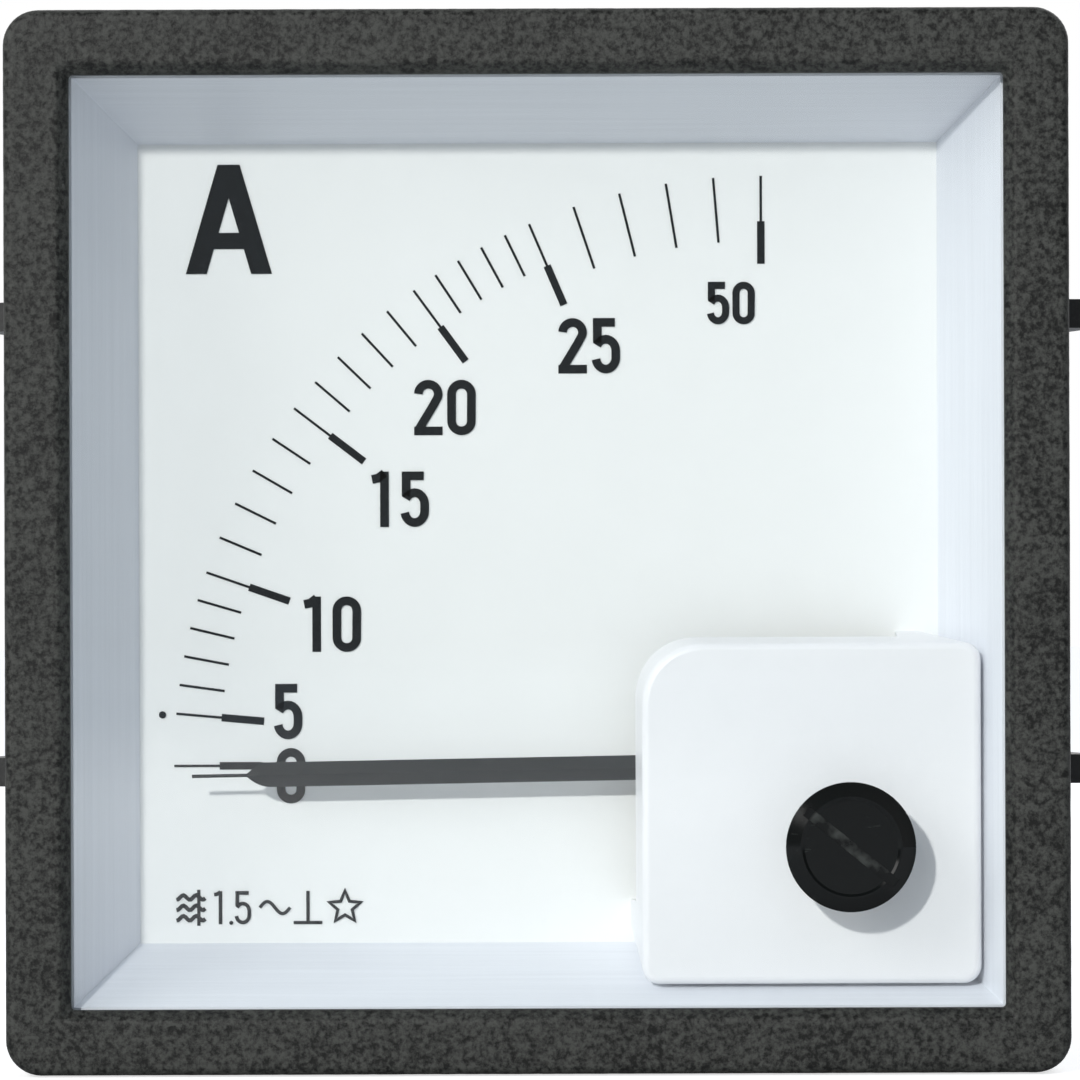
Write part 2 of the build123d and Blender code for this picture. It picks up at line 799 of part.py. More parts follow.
# Movement screws: three slotted screws through the plate into the housing's bosses.
with BuildPart() as movement_screws:
    with BuildSketch(at(plate_front)):
        with Locations(*tie_points):
            Circle(tie_screw_head)
    extrude(amount=tie_head_height)
    fillet(movement_screws.faces().group_by(Axis.Y)[0].edges(), tie_head_height / 3)
    with BuildSketch(at(bobbin_front + tie_screw_depth - tie_gap)):
        with Locations(*tie_points):
            Circle(tie_screw_radius - tie_gap)
    extrude(amount=plate_thickness + tie_screw_depth - tie_gap)
    with BuildSketch(at(plate_front - tie_head_height)):
        with Locations(*tie_points):
            Rectangle(2 * tie_screw_head, tie_screw_head / 4)
    extrude(amount=-tie_head_height / 2, mode=Mode.SUBTRACT)
save(movement_screws, "movement_screws")

lead_starts = [around(lead_circle, angle) for angle in lead_angles]
with BuildPart() as bobbin:
    with BuildSketch(profile_plane(pivot_x, pivot_z)):
        with BuildLine():
            Polyline(
                (bore_radius, bobbin_front),
                (flange_radius, bobbin_front),
                (flange_radius, bobbin_front + bobbin_flange),
                (bore_radius + core_wall, bobbin_front + bobbin_flange),
                (bore_radius + core_wall, bobbin_back - bobbin_flange),
                (flange_radius, bobbin_back - bobbin_flange),
                (flange_radius, bobbin_back),
                (bore_radius, bobbin_back),
                close=True,
            )
        make_face()
    revolve(axis=depth_axis(pivot_x, pivot_z))
    with BuildSketch(at(bobbin_back)):
        with Locations(*lead_starts):
            Circle(lead_radius + lead_hole_gap)
        with Locations(around(rear_bar_reach, 0), around(rear_bar_reach, 180)):
            Circle(bar_screw_radius + press_gap)
    extrude(amount=bobbin_flange, mode=Mode.SUBTRACT)
save(bobbin, "bobbin")

# Coil winding: one ring whose outer face bulges at each turn.
coil_front = bobbin_front + bobbin_flange
coil_back = bobbin_back - bobbin_flange
turn_pitch = (coil_back - coil_front) / coil_turns
with BuildPart() as coil_winding:
    with BuildSketch(profile_plane(pivot_x, pivot_z)):
        with BuildLine():
            for turn in range(coil_turns):
                start = (coil_radius - coil_scallop, coil_front + turn * turn_pitch)
                middle = (coil_radius, start[1] + turn_pitch / 2)
                end = (coil_radius - coil_scallop, start[1] + turn_pitch)
                ThreePointArc(start, middle, end)
            Polyline(
                (coil_radius - coil_scallop, coil_back),
                (bore_radius + core_wall, coil_back),
                (bore_radius + core_wall, coil_front),
                (coil_radius - coil_scallop, coil_front),
            )
        make_face()
    revolve(axis=depth_axis(pivot_x, pivot_z))
save(coil_winding, "coil_winding")


def sector_outline(inner_radius, outer_radius, start, span):
    """Draws a sector of a ring about the pivot, from an angle over a span, in the active line."""
    outer = [around(outer_radius, start + span * share) for share in (0, 0.5, 1)]
    inner = [around(inner_radius, start + span * share) for share in (0, 0.5, 1)]
    ThreePointArc(*outer)
    ThreePointArc(*inner)
    Line(outer[0], inner[0])
    Line(outer[2], inner[2])


# Fixed vane: curved iron strip on the bobbin's bore, its rear edge tapering to a tongue.
with BuildPart() as fixed_vane:
    with BuildSketch(at(vane_front + vane_length)):
        with BuildLine():
            strip_outer = bore_radius - press_gap
            sector_outline(strip_outer - fixed_vane_thickness, strip_outer, 180, fixed_vane_span)
        make_face()
    extrude(amount=vane_length)
    with BuildSketch(Plane.XY.offset(pivot_z)):
        with BuildLine():
            Polyline(
                (pivot_x - bore_radius, vane_front + vane_length),
                (pivot_x + bore_radius, vane_front + vane_length),
                (pivot_x + bore_radius, vane_front + fixed_vane_tip),
                close=True,
            )
        make_face()
    extrude(amount=bore_radius, both=True, mode=Mode.SUBTRACT)
save(fixed_vane, "fixed_vane")

# Moving vane: curved iron strip on a web, opposite the pointer, with a collar on the spindle.
with BuildPart() as moving_vane:
    with BuildSketch(at(vane_front + vane_length - 1)):
        with BuildLine():
            strip_outer = moving_vane_radius + moving_vane_thickness
            vane_start = -pointer_droop - moving_vane_span / 2
            sector_outline(moving_vane_radius, strip_outer, vane_start, moving_vane_span)
        make_face()
        with Locations(around((moving_vane_radius + vane_collar_radius) / 2, -pointer_droop)):
            Rectangle(moving_vane_radius, moving_vane_thickness, rotation=-pointer_droop)
        with Locations((pivot_x, pivot_z)):
            Circle(vane_collar_radius)
            Circle(spindle_radius + press_gap, mode=Mode.SUBTRACT)
    extrude(amount=vane_length - 2)
save(moving_vane, "moving_vane")

# Rear bearing bar: flat strip behind the coil, with the rear jewel screw and two screws.
bar_points = [around(rear_bar_reach, 0), around(rear_bar_reach, 180)]
with BuildPart() as rear_bar:
    with BuildSketch(at(rear_bar_back)):
        with Locations((pivot_x, pivot_z)):
            SlotCenterToCenter(2 * rear_bar_reach, rear_bar_width)
            Circle(jewel_radius + press_gap, mode=Mode.SUBTRACT)
        with Locations(*bar_points):
            Circle(bar_screw_radius + press_gap, mode=Mode.SUBTRACT)
    extrude(amount=rear_bar_thickness)
save(rear_bar, "rear_bar")

with BuildPart() as bar_screws:
    with BuildSketch(at(rear_bar_back)):
        with Locations(*bar_points):
            Circle(bar_screw_head)
    extrude(amount=-bar_screw_length)
    with BuildSketch(at(rear_bar_back)):
        with Locations(*bar_points):
            Circle(bar_screw_radius)
    extrude(amount=rear_bar_thickness + bobbin_flange)
save(bar_screws, "bar_screws")

# Damping chamber: hollow sector behind the dial, open towards the spindle.
chamber_back = plate_front
with BuildPart() as damping_chamber:
    sector = chamber_end - chamber_start
    rim_radius = chamber_outer_radius + chamber_wall
    with BuildSketch(at(chamber_back)):
        with BuildLine():
            sector_outline(chamber_inner_radius, rim_radius, chamber_start, sector)
        make_face()
    extrude(amount=chamber_back - chamber_front)
    end_wall = degrees(2 * chamber_wall / chamber_outer_radius)
    with BuildSketch(at(chamber_back - chamber_wall)):
        with BuildLine():
            throat = chamber_inner_radius - chamber_wall
            inner_start = chamber_start + end_wall
            sector_outline(throat, chamber_outer_radius, inner_start, sector - 2 * end_wall)
        make_face()
    extrude(amount=chamber_back - chamber_front - 2 * chamber_wall, mode=Mode.SUBTRACT)
save(damping_chamber, "damping_chamber")

# Damping vane: light blade on a collar, inside the chamber.
with BuildPart() as damping_vane:
    blade_front = chamber_front + chamber_wall + damper_gap
    blade_back = chamber_back - chamber_wall - damper_gap
    with BuildSketch(at(blade_back)):
        with Locations(around(damper_reach / 2, damper_angle)):
            Rectangle(damper_reach, damper_thickness, rotation=damper_angle)
        with Locations((pivot_x, pivot_z)):
            Circle(vane_collar_radius)
            Circle(spindle_radius + press_gap, mode=Mode.SUBTRACT)
    extrude(amount=blade_back - blade_front)
save(damping_vane, "damping_vane")

# Terminal studs: threaded rods with square heads inside the back wall.
sides = {"left": -1, "right": 1}
head_front_face = wall_inside - stud_head_thickness
for name, side in sides.items():
    with BuildPart() as terminal_stud:
        with BuildSketch(at(wall_inside)):
            with Locations((side * terminal_spacing / 2, 0)):
                Rectangle(stud_head_side, stud_head_side)
        extrude(amount=stud_head_thickness)
        with BuildSketch(at(stud_end)):
            with Locations((side * terminal_spacing / 2, 0)):
                Circle(stud_thread_radius)
        extrude(amount=stud_end - wall_inside)
        chamfer(terminal_stud.faces().sort_by(Axis.Y)[-1].edges(), stud_chamfer)
    save(terminal_stud, "terminal_stud_" + name)

# Terminal washers and nuts: on each stud two of each, the outer pair for the cable.
first_washer = body_end
first_nut = first_washer + washer_thickness
second_washer = first_nut + nut_thickness
second_nut = second_washer + washer_thickness
with BuildPart() as terminal_washers:
    for start in (first_washer, second_washer):
        with BuildSketch(at(start + washer_thickness)):
            with GridLocations(terminal_spacing, 1, 2, 1):
                Circle(washer_radius)
                Circle(stud_thread_radius + stud_gap, mode=Mode.SUBTRACT)
        extrude(amount=washer_thickness)
save(terminal_washers, "terminal_washers")

with BuildPart() as terminal_nuts:
    for start in (first_nut, second_nut):
        with BuildSketch(at(start + nut_thickness)):
            with GridLocations(terminal_spacing, 1, 2, 1):
                RegularPolygon(nut_flats / 2, 6, major_radius=False)
        extrude(amount=nut_thickness)
    with BuildSketch(at(second_nut + nut_thickness)):
        with GridLocations(terminal_spacing, 1, 2, 1):
            Circle(stud_thread_radius + press_gap)
    extrude(amount=second_nut + nut_thickness - first_nut, mode=Mode.SUBTRACT)
save(terminal_nuts, "terminal_nuts")

# Coil leads: stiff wires from the winding to the stud heads.
for name, side in sides.items():
    start = lead_starts[1] if side < 0 else lead_starts[0]
    end_x = side * (terminal_spacing / 2 - 1)
    route = [
        (start[0], coil_back, start[1]),
        (start[0], bobbin_back + 2.2, start[1]),
        (end_x, head_front_face - 3.0, -1.0),
        (end_x, head_front_face, -1.0),
    ]
    with BuildPart() as coil_lead:
        with BuildLine() as lead_path:
            FilletPolyline(*route, radius=1.8)
        with BuildSketch(Plane(origin=route[0], x_dir=(1, 0, 0), z_dir=(0, 1, 0))):
            Circle(lead_radius)
        sweep()
    save(coil_lead, "coil_lead_" + name)

# Mounting clamps: the right one is built, the left one mirrors it.
plate_inner = side_face + slide_gap
plate_outer = plate_inner + clamp_plate
clamp_back = clamp_front + clamp_length
clamp_half = rail_inside - slide_gap
with BuildPart() as clamp_right:
    with BuildSketch(Plane.YZ.offset(plate_inner)):
        with Locations(((clamp_front + clamp_back) / 2, 0)):
            Rectangle(clamp_length, 2 * clamp_half)
            Rectangle(clamp_length, tongue_width + 2 * tongue_slot, mode=Mode.SUBTRACT)
    extrude(amount=clamp_plate)
    yoke_inner = side_face + tooth_height + pawl_gap
    tongue_outer = plate_outer + tongue_thickness
    with BuildSketch(Plane.YZ.offset(yoke_inner)):
        with Locations((clamp_front + yoke_length / 2, 0)):
            Rectangle(yoke_length, tongue_width + 4 * tongue_slot)
    extrude(amount=tongue_outer - yoke_inner)
    rib_inner = box_face + slide_gap
    for end in (-1, 1):
        with BuildSketch(Plane.XY.offset(end * rib_spacing / 2 - rib_thickness / 2)):
            with BuildLine():
                Polyline(
                    (plate_inner + clamp_plate / 2, clamp_back),
                    (plate_inner + clamp_plate / 2, clamp_front),
                    (rib_inner, clamp_front),
                    (rib_inner, clamp_tip),
                    (rib_reach, clamp_tip),
                    (rib_reach, clamp_tip + rib_tip_depth),
                    (rib_heel, clamp_back),
                    close=True,
                )
            make_face()
        extrude(amount=rib_thickness)
    with BuildSketch(Plane.XY.offset(-tongue_width / 2)):
        with BuildLine():
            Polyline(
                (plate_outer, clamp_front),
                (tongue_outer, clamp_front),
                (tongue_outer, clamp_back - 2 * tongue_thickness),
                (tongue_lift, clamp_back - tongue_thickness / 2),
                (tongue_lift, clamp_back + tongue_thickness / 2),
                (plate_outer, clamp_back),
                (yoke_inner, clamp_back),
                (plate_outer, clamp_back - tooth_pitch),
                (yoke_inner, clamp_back - tooth_pitch),
                (plate_outer, clamp_back - 2 * tooth_pitch),
                close=True,
            )
        make_face()
    extrude(amount=tongue_width)
save(clamp_right, "clamp_right")

with BuildPart() as clamp_left:
    mirror(clamp_right.part, about=Plane.YZ)
save(clamp_left, "clamp_left")
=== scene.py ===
"""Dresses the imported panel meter: grain, printed dial, threads, finishes, lamps and camera."""

from itertools import product
from math import cos, radians, sin

import bmesh
import bpy
import numpy as np
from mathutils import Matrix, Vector


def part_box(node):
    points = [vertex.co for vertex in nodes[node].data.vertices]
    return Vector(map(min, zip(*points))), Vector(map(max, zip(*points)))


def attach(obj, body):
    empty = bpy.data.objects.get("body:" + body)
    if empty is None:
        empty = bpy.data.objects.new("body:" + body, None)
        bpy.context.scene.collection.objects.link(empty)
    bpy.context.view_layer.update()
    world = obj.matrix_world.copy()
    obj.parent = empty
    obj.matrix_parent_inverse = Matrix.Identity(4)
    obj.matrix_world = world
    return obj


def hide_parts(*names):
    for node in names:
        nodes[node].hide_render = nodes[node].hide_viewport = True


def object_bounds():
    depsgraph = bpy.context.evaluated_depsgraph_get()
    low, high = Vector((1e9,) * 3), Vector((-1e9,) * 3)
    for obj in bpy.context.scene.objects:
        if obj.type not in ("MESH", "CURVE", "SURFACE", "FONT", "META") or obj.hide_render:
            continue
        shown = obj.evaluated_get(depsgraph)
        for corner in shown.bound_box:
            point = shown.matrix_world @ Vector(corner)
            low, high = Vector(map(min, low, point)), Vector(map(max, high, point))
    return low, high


MM = 0.001
WELD = 0.0005 * MM
SLIVER = 0.0002 * MM
TINY = 1e-9
# The range that holds most of a noise texture's values.
noise_range = (0.3, 0.7)
white = (1, 1, 1, 1)
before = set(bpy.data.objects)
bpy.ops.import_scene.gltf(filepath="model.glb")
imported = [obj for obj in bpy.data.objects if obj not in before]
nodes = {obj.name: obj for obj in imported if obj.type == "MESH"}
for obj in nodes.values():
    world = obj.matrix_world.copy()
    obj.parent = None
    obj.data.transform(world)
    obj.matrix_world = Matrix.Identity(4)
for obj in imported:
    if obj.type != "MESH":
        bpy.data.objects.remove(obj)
cad_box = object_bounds()


def front_of(node):
    """The lowest Y of a CAD node at rest, in millimetres."""
    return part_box(node)[0].y / MM


def skin(points, around=False, along=False):
    """Quads between neighbours of points[row, column], closed across columns or rows if asked."""
    rows, columns = points.shape[:2]
    index = np.arange(rows * columns).reshape(rows, columns)
    if around:
        index = np.concatenate([index, index[:, :1]], axis=1)
    if along:
        index = np.concatenate([index, index[:1]], axis=0)
    corners = [index[:-1, :-1], index[1:, :-1], index[1:, 1:], index[:-1, 1:]]
    return points.reshape(-1, 3), np.stack(corners, axis=-1).reshape(-1, 4)


def make_piece(name, skins, material, body, stands_for=(), crease=35):
    """One mesh from skins in millimetres: welded, its normals turned outwards, its creases kept."""
    vertices, faces, start = [], [], 0
    for points, quads in skins:
        vertices.append(points * MM)
        faces.append(quads + start)
        start += len(points)
    mesh = bpy.data.meshes.new(name)
    mesh.from_pydata(np.concatenate(vertices).tolist(), [], np.concatenate(faces).tolist())
    work = bmesh.new()
    work.from_mesh(mesh)
    bmesh.ops.remove_doubles(work, verts=work.verts, dist=WELD)
    bmesh.ops.dissolve_degenerate(work, edges=work.edges, dist=SLIVER)
    bmesh.ops.recalc_face_normals(work, faces=work.faces)
    work.to_mesh(mesh)
    work.free()
    mesh.shade_smooth()
    mesh.set_sharp_from_angle(angle=radians(crease))
    piece = bpy.data.objects.new(name, mesh)
    piece.data.materials.append(material)
    bpy.context.scene.collection.objects.link(piece)
    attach(piece, body)
    if stands_for:
        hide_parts(*stands_for)
    return piece


def value_noise(points, size, seed, cells=64):
    """Random values at the corners of cubes, blended inside each cube by 3t^2 - 2t^3."""
    lattice = np.random.RandomState(seed).uniform(-1, 1, (cells, cells, cells))
    cell = np.floor(points / size)
    part = points / size - cell
    part = part * part * (3 - 2 * part)
    total = np.zeros(points.shape[:-1])
    for corner in product((0, 1), repeat=3):
        index = (cell.astype(int) + corner) % cells
        weight = np.prod(np.where(corner, part, 1 - part), axis=-1)
        total += weight * lattice[index[..., 0], index[..., 1], index[..., 2]]
    return total


def rounded_square(corner_steps, side_steps):
    """Two arrays that give any rounded square as (half - radius) * base + radius * outward.

    base runs round the unit square and waits at each corner while outward turns there by a
    quarter circle; on a side outward stays at right angles to it.
    """
    base, outward = [], []
    for quarter in range(4):
        turn = np.radians(90 * quarter)
        spin = np.array([[cos(turn), -sin(turn)], [sin(turn), cos(turn)]])
        angle = np.radians(np.linspace(-90, 0, corner_steps + 1))
        corner_base = np.tile([1.0, -1.0], (corner_steps + 1, 1))
        corner_out = np.stack([np.cos(angle), np.sin(angle)], axis=-1)
        travel = np.linspace(-1, 1, side_steps + 1)[1:-1]
        side_base = np.stack([np.ones_like(travel), travel], axis=-1)
        side_out = np.tile([1.0, 0.0], (len(travel), 1))
        base.append(np.concatenate([corner_base, side_base]) @ spin.T)
        outward.append(np.concatenate([corner_out, side_out]) @ spin.T)
    return np.concatenate(base), np.concatenate(outward)


def arc_points(centre, radius, start, end, steps):
    """Points on an ellipse about a centre, its angle running from start to end in degrees."""
    angle = np.radians(np.linspace(start, end, steps + 1))
    across = centre[0] + radius[0] * np.cos(angle)
    upward = centre[1] + radius[1] * np.sin(angle)
    return np.stack([across, upward], axis=-1)


def place(tree, kind, **values):
    """A node with its settings and input sockets set by name (an underscore stands for a space)."""
    node = tree.nodes.new(kind)
    for name, value in values.items():
        if hasattr(node, name):
            setattr(node, name, value)
        else:
            node.inputs[name.replace("_", " ")].default_value = value
    return node


def new_group(name, inputs, outputs):
    """A shader node group with named inputs (name: default) and outputs (name: socket type)."""
    tree = bpy.data.node_groups.new(name, "ShaderNodeTree")
    for label, default in inputs.items():
        kind = "NodeSocketColor" if isinstance(default, tuple) else "NodeSocketFloat"
        tree.interface.new_socket(label, in_out="INPUT", socket_type=kind).default_value = default
    for label, kind in outputs.items():
        tree.interface.new_socket(label, in_out="OUTPUT", socket_type=kind)
    return tree, tree.nodes.new("NodeGroupInput"), tree.nodes.new("NodeGroupOutput")


def noise_at(tree, coordinate, scale_socket=None, **values):
    """A noise texture on a coordinate, its scale fixed or taken from a socket."""
    noise = place(tree, "ShaderNodeTexNoise", **values)
    tree.links.new(coordinate, noise.inputs["Vector"])
    if scale_socket is not None:
        tree.links.new(scale_socket, noise.inputs["Scale"])
    return noise


def link_or_set(tree, value, socket):
    """A link into a socket where the value is another node's output, else a plain value."""
    if isinstance(value, bpy.types.NodeSocket):
        tree.links.new(value, socket)
    else:
        socket.default_value = value


def remap(tree, value, low, high, new_low=0.0, new_high=1.0):
    """A value moved from the range low to high to the range new_low to new_high, and held in it."""
    node = place(tree, "ShaderNodeMapRange")
    given = {
        "Value": value, "From Min": low, "From Max": high, "To Min": new_low, "To Max": new_high,
    }
    for label, part in given.items():
        link_or_set(tree, part, node.inputs[label])
    return node.outputs[0]


def calculate(tree, operation, *values, clamped=False):
    """One step of arithmetic on outputs of other nodes or numbers."""
    node = place(tree, "ShaderNodeMath", operation=operation, use_clamp=clamped)
    for value, socket in zip(values, node.inputs):
        link_or_set(tree, value, socket)
    return node.outputs[0]


def blend(tree, share, first, second):
    """A colour between two colours, by a share from 0 to 1."""
    node = place(tree, "ShaderNodeMix", data_type="RGBA")
    sockets = (node.inputs[0], node.inputs[6], node.inputs[7])
    for value, socket in zip((share, first, second), sockets):
        link_or_set(tree, value, socket)
    return node.outputs[2]


def bump_from(tree, height, depth):
    """The normal of a relief of one depth, from a height between 0 and 1."""
    bump = place(tree, "ShaderNodeBump")
    tree.links.new(depth, bump.inputs["Distance"])
    tree.links.new(height, bump.inputs["Height"])
    return bump.outputs[0]


def make_grain_group():
    """Moulded grain: flecks in larger light and dark patches, and a relief of the flecks."""
    tree, given, result = new_group(
        "moulded_grain",
        {"Fleck size": 0.0005, "Contrast": 1.0, "Depth": 0.00003, "Dark": (0, 0, 0, 1),
         "Light": white},
        {"Color": "NodeSocketColor", "Mask": "NodeSocketFloat", "Normal": "NodeSocketVector"},
    )
    fleck_range = (0.36, 0.66)
    patch_scale = 0.07
    patch_shift = (0.38, 0.62)
    where = tree.nodes.new("ShaderNodeTexCoord").outputs["Object"]
    scale = calculate(tree, "DIVIDE", 1, given.outputs["Fleck size"])
    flecks = noise_at(tree, where, scale, Detail=3.0, Roughness=0.7).outputs["Fac"]
    centred = calculate(tree, "SUBTRACT", remap(tree, flecks, *fleck_range), 0.5)
    patches = noise_at(tree, where, calculate(tree, "MULTIPLY", scale, patch_scale), Detail=2.0)
    shift = remap(tree, patches.outputs["Fac"], *noise_range, *patch_shift)
    mask = calculate(tree, "MULTIPLY_ADD", centred, given.outputs["Contrast"], shift, clamped=True)
    colour = blend(tree, mask, given.outputs["Dark"], given.outputs["Light"])
    tree.links.new(colour, result.inputs["Color"])
    tree.links.new(mask, result.inputs["Mask"])
    tree.links.new(bump_from(tree, flecks, given.outputs["Depth"]), result.inputs["Normal"])
    return tree


def make_lines_group():
    """Fine lines along one direction: noise on coordinates that are squeezed by the stretch."""
    tree, given, result = new_group(
        "fine_lines",
        {"Along X": 100.0, "Along Y": 100.0, "Along Z": 100.0, "Depth": 0.00001},
        {"Value": "NodeSocketFloat", "Normal": "NodeSocketVector"},
    )
    where = tree.nodes.new("ShaderNodeTexCoord").outputs["Object"]
    stretch = place(tree, "ShaderNodeCombineXYZ")
    for axis in "XYZ":
        tree.links.new(given.outputs["Along " + axis], stretch.inputs[axis])
    scaled = place(tree, "ShaderNodeVectorMath", operation="MULTIPLY")
    tree.links.new(where, scaled.inputs[0])
    tree.links.new(stretch.outputs[0], scaled.inputs[1])
    lines = noise_at(tree, scaled.outputs[0], Scale=1.0, Detail=4.0, Roughness=0.6).outputs["Fac"]
    tree.links.new(remap(tree, lines, *noise_range), result.inputs["Value"])
    tree.links.new(bump_from(tree, lines, given.outputs["Depth"]), result.inputs["Normal"])
    return tree


def make_scuff_group():
    """Scuffs: short slanting scratches, worn where stretched noise passes a limit."""
    tree, given, result = new_group(
        "scuffs",
        {"Size": 0.0006, "Limit": 0.62, "Clean": (0, 0, 0, 1), "Worn": white},
        {"Color": "NodeSocketColor", "Mask": "NodeSocketFloat"},
    )
    slant = radians(40)
    stretch = (0.35, 1, 2.4)
    soft_edge = 0.12
    where = tree.nodes.new("ShaderNodeTexCoord").outputs["Object"]
    turned = place(tree, "ShaderNodeMapping", Rotation=(0, slant, 0), Scale=stretch)
    tree.links.new(where, turned.inputs["Vector"])
    scale = calculate(tree, "DIVIDE", 1, given.outputs["Size"])
    scratches = noise_at(tree, turned.outputs[0], scale, Detail=5.0, Roughness=0.75)
    fully_worn = calculate(tree, "ADD", given.outputs["Limit"], soft_edge)
    mask = remap(tree, scratches.outputs["Fac"], given.outputs["Limit"], fully_worn)
    colour = blend(tree, mask, given.outputs["Clean"], given.outputs["Worn"])
    tree.links.new(colour, result.inputs["Color"])
    tree.links.new(mask, result.inputs["Mask"])
    return tree


grain_group = make_grain_group()
lines_group = make_lines_group()
scuff_group = make_scuff_group()


def new_material(name, **values):
    """A material with one Principled shader, its plain values set by socket name."""
    material = bpy.data.materials.new(name)
    material.use_nodes = True
    shader = material.node_tree.nodes["Principled BSDF"]
    for label, value in values.items():
        shader.inputs[label.replace("_", " ")].default_value = value
    return material, material.node_tree, shader


def use_group(tree, group, **values):
    """A group placed in a material with its own values."""
    node = tree.nodes.new("ShaderNodeGroup")
    node.node_tree = group
    for label, value in values.items():
        node.inputs[label.replace("_", " ")].default_value = value
    return node


def grained(name, dark, light, roughness, fleck=0.0005, contrast=1.0, depth=0.00003, **values):
    """Moulded plastic: flecked colour, bump, and a roughness that follows the flecks."""
    material, tree, shader = new_material(name, **values)
    grain = use_group(tree, grain_group, Fleck_size=fleck, Contrast=contrast, Depth=depth,
                      Dark=(*dark, 1), Light=(*light, 1))
    tree.links.new(grain.outputs["Color"], shader.inputs["Base Color"])
    tree.links.new(grain.outputs["Normal"], shader.inputs["Normal"])
    rough = remap(tree, grain.outputs["Mask"], 0, 1, *roughness)
    tree.links.new(rough, shader.inputs["Roughness"])
    return material


def lined(name, dark, light, lines, roughness, depth=0.000004, **values):
    """Finely lined metal or moulding: colour, roughness and bump follow one stretched noise."""
    material, tree, shader = new_material(name, **values)
    streak = use_group(tree, lines_group, Along_X=lines[0], Along_Y=lines[1], Along_Z=lines[2],
                       Depth=depth)
    colour = blend(tree, streak.outputs["Value"], (*dark, 1), (*light, 1))
    tree.links.new(colour, shader.inputs["Base Color"])
    rough = remap(tree, streak.outputs["Value"], 0, 1, *roughness)
    tree.links.new(rough, shader.inputs["Roughness"])
    tree.links.new(streak.outputs["Normal"], shader.inputs["Normal"])
    return material


def seen_by_camera(tree, ray):
    """One for rays from the camera, straight or through the clear sheet, else zero."""
    straight, through = ray.outputs["Is Camera Ray"], ray.outputs["Is Transmission Ray"]
    return calculate(tree, "MAXIMUM", straight, through)


def make_pane_material():
    """Clear sheet: glass to what the camera sees, and open to the lamps and the soft light."""
    tint = (0.97, 0.985, 0.98, 1)
    material, tree, shader = new_material(
        "clear_sheet", Base_Color=tint, Roughness=0.02, IOR=1.49, Transmission_Weight=1.0,
        Specular_IOR_Level=0.25,
    )
    ray = tree.nodes.new("ShaderNodeLightPath")
    clear = place(tree, "ShaderNodeBsdfTransparent", Color=tint)
    mix = tree.nodes.new("ShaderNodeMixShader")
    tree.links.new(seen_by_camera(tree, ray), mix.inputs[0])
    tree.links.new(clear.outputs[0], mix.inputs[1])
    tree.links.new(shader.outputs[0], mix.inputs[2])
    tree.links.new(mix.outputs[0], tree.nodes["Material Output"].inputs["Surface"])
    return material


def make_adjuster_material():
    """Glossy black moulding with scuffs from screwdrivers, and lighter patches of colour on the
    slot's floor.

    The floor is what lies deeper than the dish and inside the raised ring.
    """
    floor_depth = (0.3 * MM, 0.5 * MM)
    ring_inside = (3.45 * MM, 3.25 * MM)
    slot_floor_patches = (0.42, 0.66)
    slot_floor_colour = (0.045, 0.05, 0.047, 1)
    material, tree, shader = new_material("glossy_black", Specular_IOR_Level=0.3)
    worn = use_group(tree, scuff_group, Size=0.0009, Limit=0.62, Clean=(0.002, 0.003, 0.003, 1),
                     Worn=(0.022, 0.026, 0.024, 1))
    low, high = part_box("zero_adjuster")
    head_centre = ((low.x + high.x) / 2, low.y, (low.z + high.z) / 2)
    where = tree.nodes.new("ShaderNodeTexCoord").outputs["Object"]
    local = place(tree, "ShaderNodeVectorMath", operation="SUBTRACT")
    local.inputs[1].default_value = head_centre
    tree.links.new(where, local.inputs[0])
    axes = tree.nodes.new("ShaderNodeSeparateXYZ")
    tree.links.new(local.outputs[0], axes.inputs[0])
    deep = remap(tree, axes.outputs["Y"], *floor_depth)
    flat = place(tree, "ShaderNodeVectorMath", operation="MULTIPLY")
    flat.inputs[1].default_value = (1, 0, 1)
    tree.links.new(local.outputs[0], flat.inputs[0])
    reach = place(tree, "ShaderNodeVectorMath", operation="LENGTH")
    tree.links.new(flat.outputs[0], reach.inputs[0])
    inside = remap(tree, reach.outputs["Value"], *ring_inside)
    smear = noise_at(tree, where, Scale=900.0, Detail=3.0)
    patchy = remap(tree, smear.outputs["Fac"], *slot_floor_patches)
    # A lighter colour in noise patches where the head lies deeper than the dish and inside the ring.
    lighter_floor = calculate(tree, "MULTIPLY", calculate(tree, "MULTIPLY", deep, inside), patchy)
    colour = blend(tree, lighter_floor, worn.outputs["Color"], slot_floor_colour)
    tree.links.new(colour, shader.inputs["Base Color"])
    rough = remap(tree, worn.outputs["Mask"], 0, 1, 0.16, 0.42)
    tree.links.new(rough, shader.inputs["Roughness"])
    return material


def make_print_material():
    """Screen-printed ink: near black, with a slightly uneven film."""
    return grained("dial_ink", (0.004, 0.006, 0.008), (0.012, 0.015, 0.018), (0.6, 0.75),
                   fleck=0.0002, contrast=0.8, depth=0.000004, Specular_IOR_Level=0.15)


